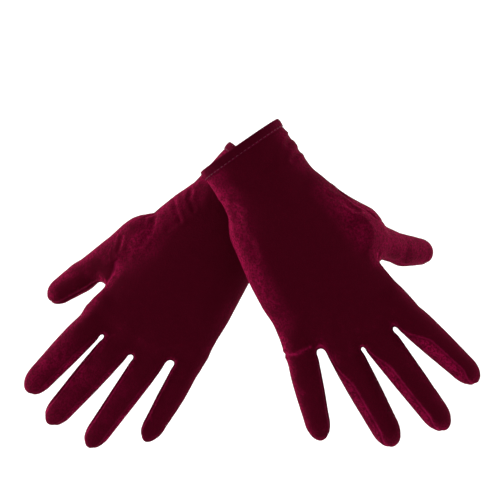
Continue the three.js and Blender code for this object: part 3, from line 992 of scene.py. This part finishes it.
def velvet(name, deep, lit, seam_light_colour, pile_height=PILE_HEIGHT):
    """Velvet in its deep colour, its painted sheen colour and the painted highlight colour of seams and folds."""
    material, tree = empty_material(name)
    place = node(tree, "ShaderNodeTexCoord").outputs["Object"]
    patch, grain = (
        node(
            tree,
            "ShaderNodeTexNoise",
            {"Vector": place},
            Scale=per_metre(breadth),
            Detail=detail,
            Roughness=roughness,
        )
        for breadth, detail, roughness in ((NAP_PATCH, 4.0, 0.65), (PILE_GRAIN, 3.0, 0.75))
    )
    unruly, ragged, speckle, rough = (
        node(
            tree,
            "ShaderNodeMapRange",
            {"Value": noise},
            From_Min=low,
            From_Max=high,
            To_Min=least,
            To_Max=most,
        )
        for noise, low, high, least, most in (
            (patch, 0.38, 0.68, -0.06, 0.16),  # patches where the painted sheen reaches further
            (patch, 0.35, 0.65, 0.22, 0.75),  # painted light on the pile and along seams is uneven
            (grain, 0.4, 0.6, 0.12, 1.45),  # tufts of grain that break up the painted sheen
            (grain, 0.3, 0.7, 0.75, 0.95),  # and are never glossy
        )
    )
    # Painted sheen: the lit colour where the cloth turns from the view, scaled by the painted side light, and more
    # where painted light lies on strips, edges and folds.
    turned = node(tree, "ShaderNodeLayerWeight", Blend=0.5).outputs["Facing"]
    painted_lit = node(tree, "ShaderNodeAttribute", attribute_name="painted_light").outputs["Fac"]
    sheen_reach = node(tree, "ShaderNodeMath", {0: turned, 1: unruly}, operation="ADD")
    grazing_sheen = node(tree, "ShaderNodeMapRange", {"Value": sheen_reach}, From_Min=0.16, From_Max=0.72)
    sheen_share = node(tree, "ShaderNodeAttribute", attribute_name="sheen_share").outputs["Fac"]
    side_lit_sheen = node(tree, "ShaderNodeMath", {0: grazing_sheen, 1: sheen_share}, operation="MULTIPLY")
    strip = node(tree, "ShaderNodeMath", {0: painted_lit, 1: ragged}, operation="MULTIPLY")
    shown = node(tree, "ShaderNodeMath", {0: side_lit_sheen, 1: strip}, operation="MAXIMUM")
    speckled = node(
        tree, "ShaderNodeMath", {0: shown, 1: speckle}, operation="MULTIPLY", use_clamp=True
    )
    shades = node(tree, "ShaderNodeMix", {0: speckled}, data_type="RGBA")
    # Along seams and folds the pile is parted, drawn as a painted highlight: a fine light line, scaled by the
    # painted side light.
    seam = node(tree, "ShaderNodeAttribute", attribute_name="seam").outputs["Fac"]
    off_seam = node(tree, "ShaderNodeMath", {0: seam}, operation="ABSOLUTE")
    line = node(
        tree,
        "ShaderNodeMapRange",
        {"Value": off_seam},
        From_Min=0.15,
        From_Max=0.95,
        To_Min=0.8,
        To_Max=0.0,
    )
    sewn = node(tree, "ShaderNodeMath", {0: line, 1: ragged}, operation="MULTIPLY")
    seam_highlight = node(tree, "ShaderNodeMath", {0: sewn, 1: sheen_share}, operation="MULTIPLY")
    seamed = node(tree, "ShaderNodeMix", {0: seam_highlight, 6: shades.outputs[2]}, data_type="RGBA")
    # The deep colour, the painted sheen colour and the painted highlight colour of seams.
    for mix, socket, colour in ((shades, 6, deep), (shades, 7, lit), (seamed, 7, seam_light_colour)):
        mix.inputs[socket].default_value = srgb(colour)
    bump = node(tree, "ShaderNodeBump", {"Height": grain}, Strength=0.8, Distance=pile_height * MM)
    shader = node(
        tree,
        "ShaderNodeBsdfPrincipled",
        {"Base Color": seamed.outputs[2], "Roughness": rough, "Normal": bump},
        Specular_IOR_Level=0.02,
        Sheen_Weight=0.1,
        Sheen_Roughness=0.3,
        Sheen_Tint=srgb("E01856"),
    )
    node(tree, "ShaderNodeOutputMaterial", {"Surface": shader})
    return material


# -------- panels, fourchettes and fingers
# The skin is divided along its seams and across its hinges, and each piece is given the thickness
# of the cloth.

CLOTH = 1.1

# The same velvet on the hand and the thumb: dark and soft, with a painted raspberry sheen.
panel_velvet = velvet("stretch_velvet", VELVET_DEEP, VELVET_LIT, VELVET_SEAM_LIGHT)
thumb_velvet = velvet("stretch_velvet_thumb", VELVET_DEEP, VELVET_LIT, VELVET_SEAM_LIGHT)


def store(mesh, label, values):
    """Keeps a measure at the points of a mesh, for its velvet to read."""
    kept = mesh.attributes.new(label, "FLOAT", "POINT")
    kept.data.foreach_set("value", np.array(values, np.float32))


def cloth_piece(name, hand, net, normals, inner, chosen, values, material):
    """One closed piece of cloth from the chosen faces of the skin."""
    faces = net.faces[chosen]
    used, local = np.unique(faces, return_inverse=True)
    faces = local.reshape(faces.shape)
    n = len(used)
    edges = np.vstack([faces[:, [k, (k + 1) % 4]] for k in range(4)])
    keys = np.sort(edges, 1)
    keys = keys[:, 0] * n + keys[:, 1]
    _, first, counts = np.unique(keys, return_index=True, return_counts=True)
    rim = edges[first[counts == 1]]
    walls = np.stack([rim[:, 1], rim[:, 0], rim[:, 0] + n, rim[:, 1] + n], 1)
    quads = np.vstack([faces, faces[:, ::-1] + n, walls])
    points = hand.outside(np.vstack([net.points[used], inner[used]])) * MM
    if hand.mirrored:
        quads = quads[:, ::-1]
    made = mesh_object(name, points.tolist(), quads.tolist())
    mesh = made.data
    facing = normals[used] @ hand.turn
    outer_quads, inner_quads = quads[: len(faces)], quads[len(faces) : 2 * len(faces)] - n
    loops = np.vstack([facing[outer_quads].reshape(-1, 3), -facing[inner_quads].reshape(-1, 3)])
    flat = np.zeros(len(quads) * 3)
    mesh.polygons.foreach_get("normal", flat)
    rim_normals = np.repeat(flat.reshape(-1, 3)[2 * len(faces) :], 4, axis=0)
    mesh.normals_split_custom_set(np.vstack([loops, rim_normals]).tolist())
    for label, value in values.items():
        store(mesh, label, np.tile(value[used], 2))
    mesh.materials.append(material)
    return made



def bends(hand, digit_name, part):
    """The start and end of a piece's bend, in the frame's directions and metres."""
    digit = hand.digits[digit_name]
    if part == "base":
        first = digit["base"]
        if digit_name == "thumb":
            before = THUMB_CUT
        else:
            before = CUT_BEYOND_ROOT - KNUCKLE_FROM_ROOT[digit_name]
        start, end = (first["start"] + first["forward"] * way for way in (before, KNUCKLE_END))
    else:
        start, end = middle_cut(digit)
    return [Vector(hand.outside(p) * MM) for p in (start, end)]


for side in hands:
    hand, net, face_piece, shown = glove_surface(side)
    normals = net.normals()
    inner = net.points - net.averaged(normals, 3) * CLOTH
    for name in sorted(set(face_piece) - {"hem"}):
        is_thumb = name.startswith("thumb")
        material = thumb_velvet if is_thumb else panel_velvet
        made = cloth_piece(
            f"{side}_{name}_velvet", hand, net, normals, inner, face_piece == name, shown, material
        )
        words = name.split("_")
        if len(words) == 3 and words[1] in ("base", "tip"):
            start, end = bends(hand, words[0], words[1])
            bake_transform(made)
        else:
            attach(made, f"{side}_hand")
        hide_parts(f"{side}_{name}")


# -------- the hem
# The cuff's edge is turned in once and pressed, so it is twice as thick as the cloth and a little
# proud of it. One row of stitches runs round it where the turning ends.

HEM_STEPS = 220
HEM_SEAM_AT = 5.9  # where the turned edge is sewn down
HEM_FULLEST_AT, HEM_FULL_OVER = 3.0, 2.6
# How much of the painted sheen shows on the hem, the same all round.
HEM_SHEEN = 0.55

# The same velvet pressed flat: a shorter pile, a little darker and with less painted sheen.
hem_velvet = velvet("pressed_hem_velvet", "34000E", "66062A", "7C0E38", 0.3)


def signed_power(value, power):
    return math.copysign(abs(value) ** power, value)


def hem_point(side, turn, along, out):
    """A place round the cuff, at a distance along it and out from the cloth's surface."""
    level = np.array(max(along, 0.0))
    ulnar, radial, back = (
        float(curve_through(level, HAND_ALONG, places))
        for places in (HAND_ULNAR[side], HAND_RADIAL[side], HAND_BACK)
    )
    x, z = (signed_power(w, 2 / HAND_SQUARENESS) for w in (math.cos(turn), math.sin(turn)))
    half = (radial - ulnar) / 2
    steep = HAND_SQUARENESS - 1
    normal = np.array([signed_power(x, steep) / half, 0, signed_power(z, steep) / back])
    normal = unit(normal + 1e-9)
    return np.array([(radial + ulnar) / 2 + half * x, along, back * z]) + normal * out


# The hem cut across, from its top outside, round its pressed edge, to its top inside: distances
# along the cuff and out from the cloth.
HEM_TOP = HEM_DEPTH + 0.1
HEM_OUTSIDE = ((HEM_TOP, -0.25), (6.1, -0.3), (5.7, -0.12), (5.2, 0.32), (4.2, 0.55), (2.6, 0.6))
HEM_EDGE = ((1.2, 0.55), (0.35, 0.3), (0.0, -0.25), (0.0, -1.0), (0.4, -1.55))
HEM_INSIDE = ((1.4, -1.8), (3.4, -1.85), (5.6, -1.7), (HEM_TOP, -1.2))
HEM_PROFILE = HEM_OUTSIDE + HEM_EDGE + HEM_INSIDE


def hem_ring(side):
    """The hem as a closed ring, with the slight waves and the close ribs that sewing leaves."""
    hand = hands[side]
    rng = np.random.default_rng(7 if side == "right" else 8)
    waves = [(k, rng.uniform(0.02, 0.1), rng.uniform(0, 6.28)) for k in (3, 5, 7, 11, 16, 23)]
    points = []
    for step in range(HEM_STEPS):
        turn = 2 * math.pi * step / HEM_STEPS
        ripple = sum(size * math.sin(k * turn + phase) for k, size, phase in waves)
        pinch = 0.06 * math.cos(turn * 54)
        for along, out in HEM_PROFILE:
            share = math.exp(-(((along - HEM_FULLEST_AT) / HEM_FULL_OVER) ** 2))
            points.append(hem_point(side, turn, along, out + (ripple + pinch) * share))
    count = len(HEM_PROFILE)
    faces = []
    for step in range(HEM_STEPS):
        ahead = (step + 1) % HEM_STEPS
        for k in range(count):
            up = (k + 1) % count
            here, there = step * count, ahead * count
            faces.append((here + k, there + k, there + up, here + up))
    points = (hand.outside(np.array(points)) * MM).tolist()
    made = mesh_object(f"{side}_cuff_hem_velvet", points, faces)
    mesh = made.data
    off_seam = [abs(along - HEM_SEAM_AT) for along, _ in HEM_PROFILE] * HEM_STEPS
    store(mesh, "seam", off_seam)
    # The hem's painted side light is the same all round.
    store(mesh, "sheen_share", [HEM_SHEEN] * len(off_seam))
    beyond, on_hem = (
        Vector(hand.outside(hem_point(side, 0.0, HEM_FULLEST_AT, out))) * MM for out in (5.0, 0.6)
    )
    nearest = min(mesh.polygons, key=lambda p: (p.center - on_hem).length)
    if nearest.normal.dot(beyond - on_hem) < 0:
        mesh.flip_normals()
    mesh.materials.append(hem_velvet)
    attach(made, f"{side}_hand")
    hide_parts(f"{side}_cuff_hem")


for side in hands:
    hem_ring(side)


# -------- the stitches of the hem
# The turned edge is held by one row of lockstitch in a spun polyester thread of the cloth's own
# colour. It is sewn from the outside, a little sunk in the pile, just above the turning's edge.

STITCH_LENGTH, STITCH_THICK, STITCH_SPACING = 2.1, 0.5, 3.0
STITCH_ALONG, STITCH_OUT = 5.55, 0.22
TWIST = 0.5  # the breadth of the thread's strands

# Spun polyester thread: a soft gloss, a shade lighter than the pile that it lies in.
thread, tree = empty_material("spun_polyester_thread")
place = node(tree, "ShaderNodeTexCoord").outputs["Object"]
twist = node(tree, "ShaderNodeTexNoise", {"Vector": place}, Scale=per_metre(TWIST), Detail=2.0)
tone = node(tree, "ShaderNodeMix", {0: twist}, data_type="RGBA")
for socket, colour in ((6, "340714"), (7, "5C0E2A")):
    tone.inputs[socket].default_value = srgb(colour)
bump = node(tree, "ShaderNodeBump", {"Height": twist}, Strength=0.5, Distance=0.1 * MM)
shader = node(
    tree,
    "ShaderNodeBsdfPrincipled",
    {"Base Color": tone.outputs[2], "Normal": bump},
    Roughness=0.5,
    Specular_IOR_Level=0.2,
)
node(tree, "ShaderNodeOutputMaterial", {"Surface": shader})

row = bpy.data.node_groups.new("row_of_stitches", "GeometryNodeTree")
row.is_modifier = True
row.interface.new_socket("Geometry", in_out="INPUT", socket_type="NodeSocketGeometry")
sizes = {"Length": STITCH_LENGTH, "Thickness": STITCH_THICK, "Spacing": STITCH_SPACING}
row_inputs = {
    name: row.interface.new_socket(name, in_out="INPUT", socket_type="NodeSocketFloat")
    for name in sizes
}
row.interface.new_socket("Geometry", in_out="OUTPUT", socket_type="NodeSocketGeometry")
given = node(row, "NodeGroupInput").outputs
line = node(row, "GeometryNodeMeshToCurve", {"Mesh": given["Geometry"]})
length = {"Curve": line, "Length": given["Spacing"]}
spots = node(row, "GeometryNodeCurveToPoints", length, mode="LENGTH")
across, long = given["Thickness"], given["Length"]
thick = node(row, "ShaderNodeCombineXYZ", {0: across, 1: across, 2: long})
one_stitch = node(row, "GeometryNodeMeshUVSphere", Segments=8, Rings=6, Radius=0.5)
uneven = node(row, "FunctionNodeRandomValue", Seed=3)
uneven.inputs[2].default_value, uneven.inputs[3].default_value = 0.88, 1.08
scaled = node(
    row, "ShaderNodeVectorMath", {0: thick, "Scale": uneven.outputs[1]}, operation="SCALE"
)
placing = {
    "Points": spots,
    "Instance": one_stitch,
    "Rotation": spots.outputs["Rotation"],
    "Scale": scaled,
}
placed = node(row, "GeometryNodeInstanceOnPoints", placing)
whole = node(row, "GeometryNodeRealizeInstances", {"Geometry": placed})
coloured = node(row, "GeometryNodeSetMaterial", {"Geometry": whole}, Material=thread)
node(row, "NodeGroupOutput", {"Geometry": coloured})

for side, hand in hands.items():
    turns = [2 * math.pi * step / HEM_STEPS for step in range(HEM_STEPS)]
    path = [
        list(hand.outside(hem_point(side, turn, STITCH_ALONG, STITCH_OUT)) * MM) for turn in turns
    ]
    edges = [(k, (k + 1) % HEM_STEPS) for k in range(HEM_STEPS)]
    sewn = mesh_object("stitch_path", path, [], edges)
    modifier = sewn.modifiers.new("row_of_stitches", "NODES")
    modifier.node_group = row
    for name, value in sizes.items():
        modifier[row_inputs[name].identifier] = value * MM
    settled = sewn.evaluated_get(bpy.context.evaluated_depsgraph_get())
    stitches = bpy.data.meshes.new_from_object(settled)
    bpy.data.objects.remove(sewn)
    stitches.name = f"{side}_hem_stitches"
    made = link_object(f"{side}_hem_stitches", stitches)
    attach(made, f"{side}_hand")
